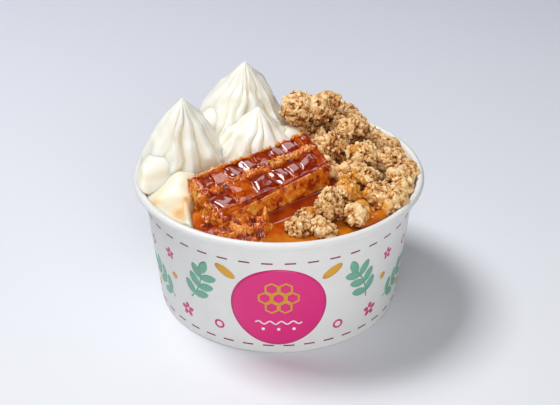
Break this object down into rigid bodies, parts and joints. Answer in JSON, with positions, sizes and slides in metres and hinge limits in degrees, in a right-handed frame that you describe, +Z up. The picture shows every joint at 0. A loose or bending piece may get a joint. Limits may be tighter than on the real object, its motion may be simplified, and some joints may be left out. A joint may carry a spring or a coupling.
{
  "type": "frozen yogurt cup",
  "caption": "Round paper cup of piped frozen yogurt with three peaks, topped with a slab of honeycomb, a pool of honey and a heap of granola clusters.",
  "frame": {"origin": "centre of the cup's foot ring, at the level of the surface it stands on", "axes": "+X towards the granola side (right from the front), +Y towards the back, +Z up; the honeycomb and the honey pool face -Y"},
  "size_m": [0.116, 0.116, 0.0883],
  "materials": {
    "printed_paper": "white coated paper board with a matt print of magenta, teal and ochre shapes",
    "plain_paper": "plain white uncoated board under the cup",
    "yogurt": "smooth white soft-serve yogurt, satin, slightly translucent",
    "comb_wax": "amber honeycomb wax wet with honey, glossy",
    "honey": "clear dark amber honey, very glossy",
    "granola": "baked oat clusters, dry and rough, with a few honeyed glints"
  },
  "bodies": {
    "root": {"cup_wall": "printed_paper", "cup_base": "plain_paper", "frozen_yogurt": "yogurt", "honeycomb": "comb_wax", "honey_pool": "honey", "granola_heap": "granola", "granola_cluster_01": "granola", "granola_cluster_02": "granola", "granola_cluster_03": "granola", "granola_cluster_04": "granola", "granola_cluster_05": "granola", "granola_cluster_06": "granola", "granola_cluster_07": "granola", "granola_cluster_08": "granola", "granola_cluster_09": "granola", "granola_cluster_10": "granola", "granola_cluster_11": "granola", "granola_cluster_12": "granola", "granola_cluster_13": "granola", "granola_cluster_14": "granola", "granola_cluster_15": "granola", "granola_cluster_16": "granola", "granola_cluster_17": "granola", "granola_cluster_18": "granola", "granola_cluster_19": "granola"}
  },
  "joints": []
}
